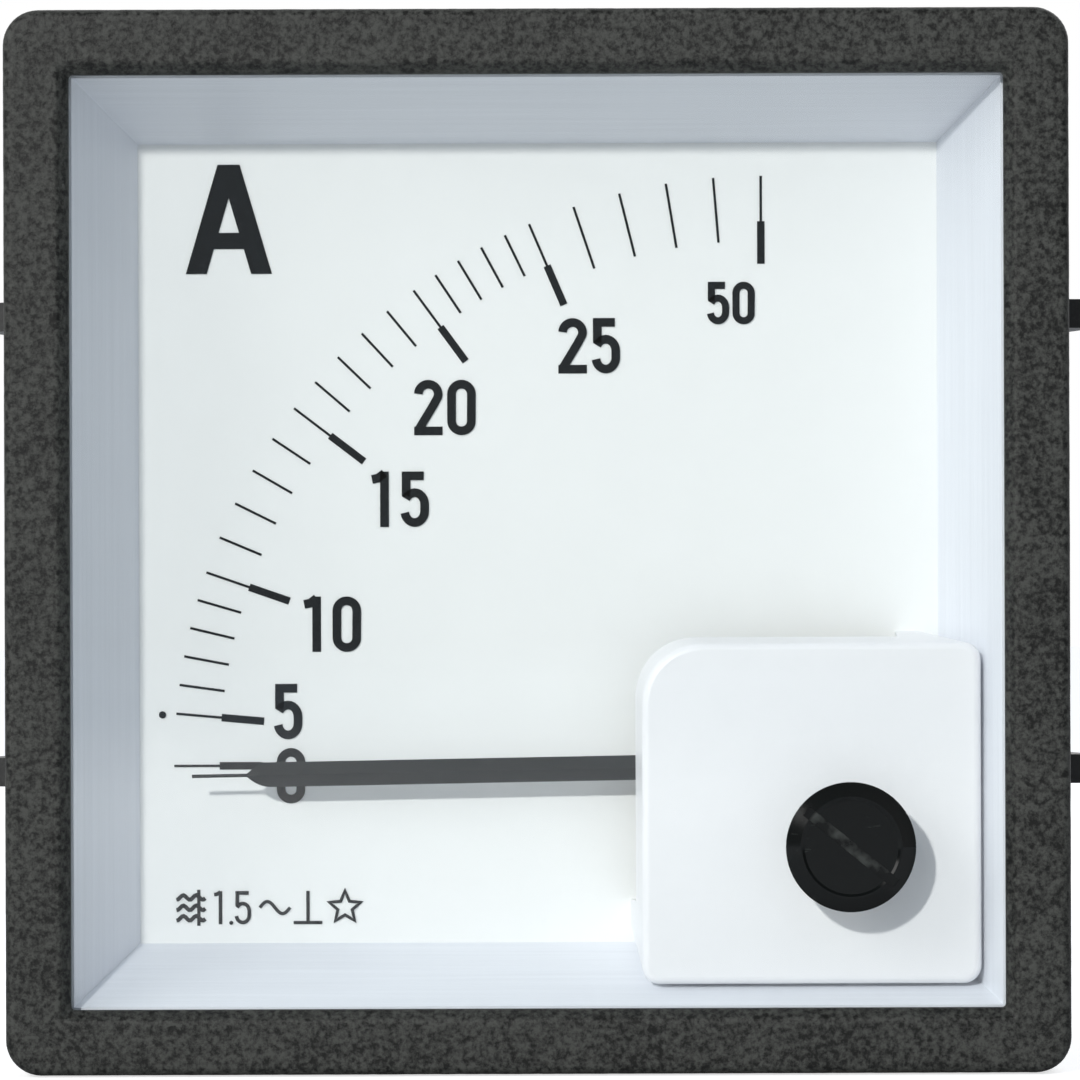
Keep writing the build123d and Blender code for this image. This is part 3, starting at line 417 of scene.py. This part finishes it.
finishes = {
    "bezel": grained("grained_charcoal", (0.006, 0.0065, 0.006), (0.055, 0.057, 0.052),
                     (0.42, 0.66), fleck=0.00042, contrast=1.15, depth=0.00004,
                     Specular_IOR_Level=0.22),
    "housing": grained("moulded_black", (0.016, 0.017, 0.017), (0.036, 0.037, 0.037),
                       (0.38, 0.55), fleck=0.0004, contrast=0.8, depth=0.000015,
                       Specular_IOR_Level=0.4),
    "clamp": grained("clamp_black", (0.014, 0.015, 0.015), (0.03, 0.031, 0.031), (0.32, 0.5),
                     fleck=0.0003, contrast=0.7, depth=0.00001, Specular_IOR_Level=0.4),
    "pane": make_pane_material(),
    "frame": lined("white_walls", (0.765, 0.785, 0.84), (0.825, 0.845, 0.9), (40, 2600, 40),
                   (0.42, 0.55), depth=0.000006),
    "dial": grained("painted_dial", (0.855, 0.86, 0.855), (0.87, 0.875, 0.87), (0.5, 0.6),
                    fleck=0.004, contrast=0.7, depth=0.000002),
    "ink": make_print_material(),
    "cover": grained("white_cover", (0.875, 0.87, 0.89), (0.89, 0.885, 0.905), (0.32, 0.4),
                     fleck=0.002, contrast=0.6, depth=0.000003),
    "adjuster": make_adjuster_material(),
    "pointer": lined("black_enamel", (0.006, 0.009, 0.01), (0.016, 0.02, 0.022), (60, 900, 2200),
                     (0.5, 0.65), Specular_IOR_Level=0.25),
    "steel": lined("plated_steel", (0.5, 0.5, 0.5), (0.66, 0.66, 0.65), (500, 1800, 500),
                   (0.22, 0.4), Metallic=1.0),
    "brass": lined("turned_brass", (0.62, 0.43, 0.18), (0.76, 0.56, 0.27), (400, 2200, 400),
                   (0.2, 0.36), Metallic=1.0),
    "bronze": lined("spring_bronze", (0.5, 0.3, 0.15), (0.62, 0.38, 0.2), (700, 700, 700),
                    (0.25, 0.4), Metallic=1.0),
    "copper": lined("enamelled_copper", (0.42, 0.13, 0.05), (0.58, 0.21, 0.09), (300, 2400, 300),
                    (0.2, 0.34), Metallic=0.85),
    "moulding": grained("natural_moulding", (0.7, 0.67, 0.6), (0.77, 0.74, 0.68), (0.4, 0.5),
                        fleck=0.0008, contrast=0.7, depth=0.000006),
    "iron": lined("soft_iron", (0.3, 0.3, 0.31), (0.42, 0.42, 0.43), (900, 900, 900), (0.35, 0.5),
                  Metallic=1.0),
    "blade": lined("light_metal", (0.68, 0.69, 0.7), (0.8, 0.81, 0.82), (900, 900, 900),
                   (0.25, 0.4), Metallic=1.0),
}


def set_finish(piece, material):
    """Puts a material in every slot of an object, in place of what the CAD export gave it."""
    if not piece.material_slots:
        piece.data.materials.append(material)
    for held in piece.material_slots:
        held.link = "OBJECT"
        held.material = material


node_slots = {
    "bezel": ["bezel"],
    "pane": ["window_pane"],
    "frame": ["inner_frame"],
    "dial": ["dial_plate"],
    "ink": ["scale_marks"],
    "cover": ["movement_cover"],
    "adjuster": ["zero_adjuster"],
    "housing": ["housing"],
    "clamp": ["clamp_left", "clamp_right"],
    "pointer": ["pointer"],
    "steel": ["spindle", "terminal_stud_left", "terminal_stud_right", "terminal_nuts",
              "terminal_washers", "movement_screws", "bar_screws", "adjuster_ring"],
    "brass": ["pointer_hub", "balance_weight", "front_bridge", "bridge_pillars",
              "front_jewel_screw", "rear_jewel_screw", "rear_bar", "regulator", "balance_arm",
              "movement_frame"],
    "bronze": ["hairspring"],
    "copper": ["coil_winding", "coil_lead_left", "coil_lead_right"],
    "moulding": ["bobbin", "damping_chamber"],
    "iron": ["fixed_vane", "moving_vane"],
    "blade": ["damping_vane"],
}
for slot_name, members in node_slots.items():
    for member in members:
        set_finish(nodes[member], finishes[slot_name])


# Bezel moulding, in millimetres.
bezel_half = 36.0
bezel_front = -7.0
bezel_corner = 2.4
bezel_edge = 0.6
window_half = 31.6
window_chamfer = 0.7
window_corner_front = 0.35
window_corner_back = 0.25
window_edge_round = 0.1
lip_back = -5.8
bezel_inner_half = 34.4
bezel_inner_corner = 0.15
back_edge_radius = 0.25
wall_rows, flat_rows = 19, 12
# How high the moulded relief stands, how large its grains are, and the seed of each layer.
relief_layers = ((0.011, 0.62, 3), (0.008, 0.31, 4))
relief_limit = 0.01


def bezel_profile():
    """Rows of (half size, corner radius, Y, grain share), from the panel round the front and back.

    The outer edge is a quarter circle of the edge radius, the window's edge a chamfer with small
    rounded ends, and the inside a plain hollow.
    """
    flat_end = window_half + window_chamfer
    wall = [
        (bezel_half, bezel_corner, y, 1.0)
        for y in np.linspace(-back_edge_radius, bezel_front + bezel_edge, wall_rows)
    ]
    back_edge = [
        (bezel_half - back_edge_radius * (1 - np.cos(t)), bezel_corner,
         -back_edge_radius * (1 - np.sin(t)), 0.6)
        for t in np.radians([90, 60, 30])
    ]
    turned = [
        (bezel_half - bezel_edge * (1 - np.cos(t)), bezel_corner - bezel_edge * (1 - np.cos(t)),
         bezel_front + bezel_edge * (1 - np.sin(t)), 0.8)
        for t in np.radians(np.linspace(11, 79, 7))
    ]
    flat = [
        (half, max(bezel_corner - (bezel_half - half), window_corner_front), bezel_front, 1.0)
        for half in np.linspace(bezel_half - bezel_edge, flat_end + 0.12, flat_rows)
    ]
    chamfer_end = bezel_front + window_chamfer
    slope = [
        (flat_end - 0.02, window_corner_front, bezel_front + 0.03, 0.2),
        (flat_end - window_edge_round, 0.33, bezel_front + window_edge_round, 0.1),
        (window_half + window_edge_round, 0.27, chamfer_end - window_edge_round, 0.1),
        (window_half + 0.02, window_corner_back, chamfer_end, 0.1),
        (window_half, window_corner_back, chamfer_end + 0.08, 0.0),
    ]
    inside = [
        (window_half, window_corner_back, lip_back, 0.0),
        (bezel_inner_half, bezel_inner_corner, lip_back, 0.0),
        (bezel_inner_half, bezel_inner_corner, -0.02, 0.0),
        (bezel_half - back_edge_radius, bezel_corner, 0.0, 0.0),
    ]
    return np.array(back_edge + wall + turned + flat + slope + inside)


def make_bezel():
    """Carries the profile round the rounded square, lifted along its normal by layers of noise."""
    base, outward = rounded_square(corner_steps=10, side_steps=210)
    half, radius, depth, share = bezel_profile().T
    flat = (half - radius)[:, None, None] * base[None] + radius[:, None, None] * outward[None]
    level = np.broadcast_to(depth[:, None], flat.shape[:2])
    points = np.stack([flat[..., 0], level, flat[..., 1]], axis=-1)
    ahead = np.roll(points, -1, axis=0) - np.roll(points, 1, axis=0)
    beside = np.roll(points, -1, axis=1) - np.roll(points, 1, axis=1)
    normal = np.cross(ahead, beside)
    normal /= np.maximum(np.linalg.norm(normal, axis=-1, keepdims=True), TINY)
    wall_row = 10
    middle = np.array([0, bezel_front / 2, 0])
    facing = np.sign(np.mean(normal[wall_row] * (points[wall_row] - middle)))
    relief = sum(height * value_noise(points, size, seed) for height, size, seed in relief_layers)
    lift = np.minimum(relief, relief_limit) * share[:, None]
    points = points + facing * normal * lift[..., None]
    points[..., 0] = np.clip(points[..., 0], -bezel_half, bezel_half)
    points[..., 2] = np.clip(points[..., 2], -bezel_half, bezel_half)
    surface = skin(points, around=True, along=True)
    make_piece("bezel_moulding", [surface], finishes["bezel"], "case", ["bezel"],
               crease=50)


make_bezel()


# Printed figures on the dial, in millimetres.
ink_height = 0.045
dial_front = front_of("dial_plate")
ink_front = dial_front - ink_height
number_places = {
    "0": (-17.2, -16.1), "5": (-17.4, -11.65), "10": (-14.45, -5.6), "15": (-9.72, 3.05),
    "20": (-6.45, 9.4), "25": (3.57, 13.65),
}
number_form = {"width": 1.98, "height": 3.84, "stroke": 0.6, "pitch": 2.3}
last_number_place = (13.4, 16.58)
last_number_form = {"width": 1.55, "height": 2.95, "stroke": 0.49, "pitch": 1.78}
letter_place = (-21.4, 22.5)
letter_form = {"width": 5.97, "height": 7.57, "apex": 1.53, "stroke": 1.36, "bar_top": -0.94,
               "bar_bottom": -2.06}
dot_place, dot_radius = (-26.1, -11.85), 0.25
symbols_height, symbols_stroke = -25.24, 0.23
symbol_places = {"coil": -24.03, "iron": -23.63, "one": -22.23, "point": -21.38, "five": -20.58,
                 "wave": -19.4, "upright": -16.06, "star": -13.49}
# A leg of the letter is measured along the line, a little wider than across it.
leg_share = 1.06


def ribbon(path, width, closed=False):
    """A flat stroke: its edges are the path moved sideways by half its width, mitred at corners."""
    step = np.roll(path, -1, axis=0) - path
    step /= np.maximum(np.linalg.norm(step, axis=-1, keepdims=True), TINY)
    before = np.roll(step, 1, axis=0)
    if not closed:
        step[-1] = step[-2]
        before[0] = step[0]
        before[-1] = step[-2]
    middle = before + step
    middle /= np.linalg.norm(middle, axis=-1, keepdims=True)
    sideways = np.stack([-middle[:, 1], middle[:, 0]], axis=-1)
    spread = np.sum(middle * step, axis=-1)
    sideways *= (width / 2 / np.maximum(spread, 0.5))[:, None]
    return np.stack([path + sideways, path - sideways], axis=0), closed


def inked(outlines):
    """Skins that lie on the dial, from flat outlines (rows of two edges) in X and Z."""
    skins = []
    for edges, closed in outlines:
        level = np.full(edges.shape[:2], ink_front)
        points = np.stack([edges[..., 0], level, edges[..., 1]], axis=-1)
        skins.append(skin(points, around=closed))
    return skins


def numeral(digit, width, height, stroke):
    """The strokes of a condensed numeral about its own centre, as open or closed centre lines."""
    a, b = (width - stroke) / 2, (height - stroke) / 2
    if digit == "0":
        top = arc_points((0, b - a), (a, a), 0, 180, 14)
        bottom = arc_points((0, a - b), (a, a), 180, 360, 14)
        return [(np.concatenate([top, bottom[:-1]]), True)]
    if digit == "1":
        stem_x = 0.3 * a
        flag = np.array(
            [(-0.95 * a, b - 0.34 * a), (-0.35 * a, b - 0.22 * a), (stem_x, b + stroke * 0.3)]
        )
        stem = np.array([(stem_x, b + stroke / 2), (stem_x, -b - stroke / 2)])
        return [(flag, False), (stem, False)]
    if digit == "2":
        top = arc_points((0, b - a), (a, a), 178, -18, 16)
        path = np.concatenate([top, [(0.52 * a, b - 2.1 * a), (-0.98 * a, -b + 0.12 * a)]])
        foot = np.array([(-a - stroke / 2, -b), (a + stroke / 2, -b)])
        return [(path, False), (foot, False)]
    bar = np.array([(a * 0.92, b), (-a * 0.85, b), (-a * 0.85, 0.12 * b)])
    side = min(0.64 * b, a * 1.15)
    top = arc_points((0, 0.28 * b - side), (a, side), 152, 0, 10)
    bottom = arc_points((0, -b + side), (a, side), 0, -172, 12)
    return [(bar, False), (np.concatenate([top, bottom]), False)]


def number(text, centre, width, height, stroke, pitch):
    """The ribbons of a whole number, its digits side by side at one pitch about its centre."""
    outlines = []
    for column, digit in enumerate(text):
        shift = np.array([centre[0] + (column - (len(text) - 1) / 2) * pitch, centre[1]])
        for path, closed in numeral(digit, width, height, stroke):
            outlines.append(ribbon(path + shift, stroke, closed))
    return outlines


def bold_letter_a(centre, width, height, apex, stroke, bar_top, bar_bottom):
    """Bands of a bold capital A: its outer edges run straight from a flat apex to the feet."""
    def outer(z):
        return apex / 2 + (width - apex) / 2 * (height / 2 - z) / height

    def inner(z):
        return np.maximum(outer(z) - stroke * leg_share, 0)

    def band(levels, left, right):
        return np.array([[(left(z), z) for z in levels], [(right(z), z) for z in levels]])

    peak = height / 2 - height * (stroke * leg_share - apex / 2) / ((width - apex) / 2)
    legs = (peak, bar_top, bar_bottom, -height / 2)
    outlines = [
        band((height / 2, peak), lambda z: -outer(z), outer),
        band(legs, lambda z: -outer(z), lambda z: -inner(z)),
        band(legs, outer, inner),
        band((bar_top, bar_bottom), lambda z: -inner(z), inner),
    ]
    return [(outline + np.array(centre), False) for outline in outlines]


def disc(centre, radius):
    """A small round dot: a ring of points joined to its centre."""
    ring = arc_points(centre, (radius, radius), 0, 345, 23)
    return np.stack([ring, np.broadcast_to(centre, ring.shape)]), True


def small_symbols():
    """The row of instrument symbols: coil and iron, class, alternating wave, upright mark, star."""
    z, stroke, at = symbols_height, symbols_stroke, symbol_places
    outlines = []
    winding = np.linspace(-1.15, 0.85, 17)
    for level in (0.72, 0, -0.72):
        rise = z + level + 0.16 * np.sin(winding * 7)
        outlines.append(ribbon(np.stack([at["coil"] + winding, rise], axis=-1), stroke * 1.2))
    outlines.append(ribbon(np.array([(at["iron"], z + 1.25), (at["iron"], z - 1.25)]), stroke))
    outlines += number("1", (at["one"], z), 0.95, 2.3, stroke * 1.1, 1.0)
    outlines.append(disc((at["point"], z - 1.05), stroke * 0.6))
    outlines += number("5", (at["five"], z), 1.15, 2.3, stroke * 1.1, 1.0)
    share = np.linspace(0, 1, 25)
    swing = z + 0.42 * np.sin(2 * np.pi * share)
    outlines.append(ribbon(np.stack([at["wave"] + 2.1 * share, swing], axis=-1), stroke))
    upright = at["upright"]
    outlines.append(ribbon(np.array([(upright, z + 1.15), (upright, z - 1.0)]), stroke))
    outlines.append(ribbon(np.array([(upright - 1, z - 1.05), (upright + 1, z - 1.05)]), stroke))
    tips = np.arange(10)
    reach = np.where(tips % 2 == 0, 1.15, 0.52)
    angle = np.radians(90 + 36 * tips)
    star = np.stack([at["star"] + reach * np.cos(angle), z + reach * np.sin(angle)], axis=-1)
    steps = np.array([0.0, 0.5])
    edges = star[:, None] + (np.roll(star, -1, axis=0) - star)[:, None] * steps[None, :, None]
    outlines.append(ribbon(edges.reshape(-1, 2), stroke * 0.9, True))
    return outlines


def make_print():
    """All printed figures: numbers, the unit letter, the dot before 5 and the symbols."""
    outlines = []
    for text, centre in number_places.items():
        outlines += number(text, centre, **number_form)
    outlines += number("50", last_number_place, **last_number_form)
    outlines += bold_letter_a(letter_place, **letter_form)
    outlines.append(disc(dot_place, dot_radius))
    outlines += small_symbols()
    piece = make_piece("dial_print", inked(outlines), finishes["ink"], "case")
    piece.data.shade_flat()
    film = piece.modifiers.new("ink", "SOLIDIFY")
    film.thickness = ink_height * MM
    film.offset = -1


make_print()


# Terminal studs, in millimetres.
stud_head_back = 43.0
rod_radius = 2.5
thread_pitch = 0.8
thread_depth = 0.42
thread_rows = 9
thread_columns = 40
thread_fade = 0.6
tip_chamfer = 0.5
# The triangle wave is scaled and lowered by these, which cuts its crests and roots flat.
wave_scale, wave_drop = 1.35, 0.15


def make_stud(side):
    """A threaded rod on a square head.

    The radius at height h and angle t is the rod's radius less the thread depth times a blunt
    triangle wave of h / pitch - t / full turn, faded out at the chamfered end and under the head.
    """
    low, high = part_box("terminal_stud_" + side)
    centre_x = (low.x + high.x) / 2 / MM
    centre_z = (low.z + high.z) / 2 / MM
    head_front, end = low.y / MM, high.y / MM
    rows = int((end - stud_head_back) / thread_pitch * thread_rows)
    angle = np.linspace(0, 2 * np.pi, thread_columns, endpoint=False)[None]
    height = np.linspace(stud_head_back, end, rows)[:, None]
    phase = (height - stud_head_back) / thread_pitch - angle / (2 * np.pi)
    wave = np.clip(wave_scale * np.abs(2 * (phase % 1) - 1) - wave_drop, 0, 1)
    fade = np.clip((height - stud_head_back) / thread_fade, 0, 1)
    radius = rod_radius - thread_depth * (1 - wave) * fade
    radius = np.minimum(radius, rod_radius - tip_chamfer + (end - height))
    across = centre_x + radius * np.cos(angle)
    upward = centre_z + radius * np.sin(angle)
    thread = np.stack([across, np.broadcast_to(height, radius.shape), upward], axis=-1)
    tip = np.broadcast_to([centre_x, end, centre_z], (1, thread_columns, 3))
    root = np.broadcast_to([centre_x, stud_head_back, centre_z], (1, thread_columns, 3))
    shank = skin(np.concatenate([root, thread, tip]), around=True)
    base, outward = rounded_square(corner_steps=4, side_steps=2)
    head = []
    profile = [(0, 0, head_front), (3.7, 0.5, head_front), (4.0, 0.6, head_front + 0.3),
               (4.0, 0.6, stud_head_back - 0.1), (3.9, 0.5, stud_head_back), (0, 0, stud_head_back)]
    for half, corner, y in profile:
        flat = (half - corner) * base + corner * outward
        level = np.full(len(flat), y)
        head.append(np.stack([centre_x + flat[:, 0], level, centre_z + flat[:, 1]], axis=-1))
    return shank, skin(np.array(head), around=True)


for side_name in ("left", "right"):
    make_piece("threaded_stud_" + side_name, make_stud(side_name), finishes["steel"], "case",
               ["terminal_stud_" + side_name], crease=60)


def make_floor():
    """A pale floor under the meter that keeps its shadow and stays white to the camera."""
    grey, glow, half_size, gap = 0.62, 0.66, 4.0, 0.0001
    material, tree, shader = new_material(
        "pale_floor", Base_Color=(grey, grey, grey, 1), Roughness=0.7, Specular_IOR_Level=0.2,
        Emission_Color=white,
    )
    ray = tree.nodes.new("ShaderNodeLightPath")
    strength = calculate(tree, "MULTIPLY", ray.outputs["Is Camera Ray"], glow)
    tree.links.new(strength, shader.inputs["Emission Strength"])
    level = cad_box[0].z - gap
    mesh = bpy.data.meshes.new("floor")
    square = ((-1, -1), (1, -1), (1, 1), (-1, 1))
    corners = [(x * half_size, y * half_size, level) for x, y in square]
    mesh.from_pydata(corners, [], [(0, 1, 2, 3)])
    floor = bpy.data.objects.new("floor", mesh)
    floor.data.materials.append(material)
    bpy.context.scene.collection.objects.link(floor)


ambient_low = (0.1, 0.12, 0.155)
ambient_high = (0.42, 0.465, 0.53)


def make_world():
    """White to the camera and through the pane, bluish ambient light, dark room behind the camera."""
    room_edge, room_level = (-0.25, 0.15), 0.12
    sky_edge = (-0.4, 0.5)
    world = bpy.data.worlds.new("studio")
    bpy.context.scene.world = world
    world.use_nodes = True
    tree = world.node_tree
    ray = tree.nodes.new("ShaderNodeLightPath")
    where = tree.nodes.new("ShaderNodeTexCoord")
    axes = tree.nodes.new("ShaderNodeSeparateXYZ")
    tree.links.new(where.outputs["Generated"], axes.inputs[0])
    room = remap(tree, axes.outputs["Y"], *room_edge, room_level, 1.0)
    sky = remap(tree, axes.outputs["Z"], *sky_edge)
    ambient = blend(tree, sky, (*ambient_low, 1), (*ambient_high, 1))
    light = blend(tree, ray.outputs["Is Glossy Ray"], ambient, room)
    colour = blend(tree, seen_by_camera(tree, ray), light, white)
    tree.links.new(colour, tree.nodes["Background"].inputs["Color"])


def add_lamp(name, direction, distance, size, level, colour=(1, 1, 1)):
    """An area lamp aimed at the origin; level is what it adds to a white surface that faces it."""
    light = bpy.data.lights.new(name, "AREA")
    light.color = colour
    light.shape = "DISK"
    light.size = size
    light.energy = level * np.pi ** 2 * distance ** 2
    lamp = bpy.data.objects.new(name, light)
    towards = Vector(direction).normalized()
    lamp.location = towards * distance
    lamp.rotation_euler = towards.to_track_quat("Z", "Y").to_euler()
    bpy.context.scene.collection.objects.link(lamp)


lamp_tint = (1.0, 0.985, 0.965)
make_floor()
make_world()
add_lamp("key", (-0.363, -1.0, 0.39), 1.2, 0.06, 0.6, lamp_tint)
add_lamp("soft_fill", (-0.9, -0.6, 0.55), 0.7, 0.4, 0.28, lamp_tint)
add_lamp("back_fill", (0.5, 0.8, 0.6), 0.7, 0.5, 0.35)

# The camera looks along the dial's normal from off centre, its shift in millimetres and pixels.
frame_pixels = 1080
pixels_per_mm = 14.82
sensor_width = 36.0
view_distance = 450.0
camera_x, camera_z = 3.0, -4.0
centre_shift = (-2.7, -1.0)
camera_roll = 0.19

camera_data = bpy.data.cameras.new("camera")
camera_data.sensor_width = sensor_width
camera_data.lens = sensor_width * view_distance * pixels_per_mm / frame_pixels
camera_data.shift_x = -(camera_x * pixels_per_mm + centre_shift[0]) / frame_pixels
camera_data.shift_y = -(camera_z * pixels_per_mm + centre_shift[1]) / frame_pixels
camera_data.clip_start = 0.01
camera = bpy.data.objects.new("camera", camera_data)
camera.location = Vector((camera_x, bezel_front - view_distance, camera_z)) * MM
camera.rotation_euler = (radians(90), radians(camera_roll), 0)
bpy.context.scene.collection.objects.link(camera)
bpy.context.scene.camera = camera
bpy.context.scene.view_settings.view_transform = "Standard"
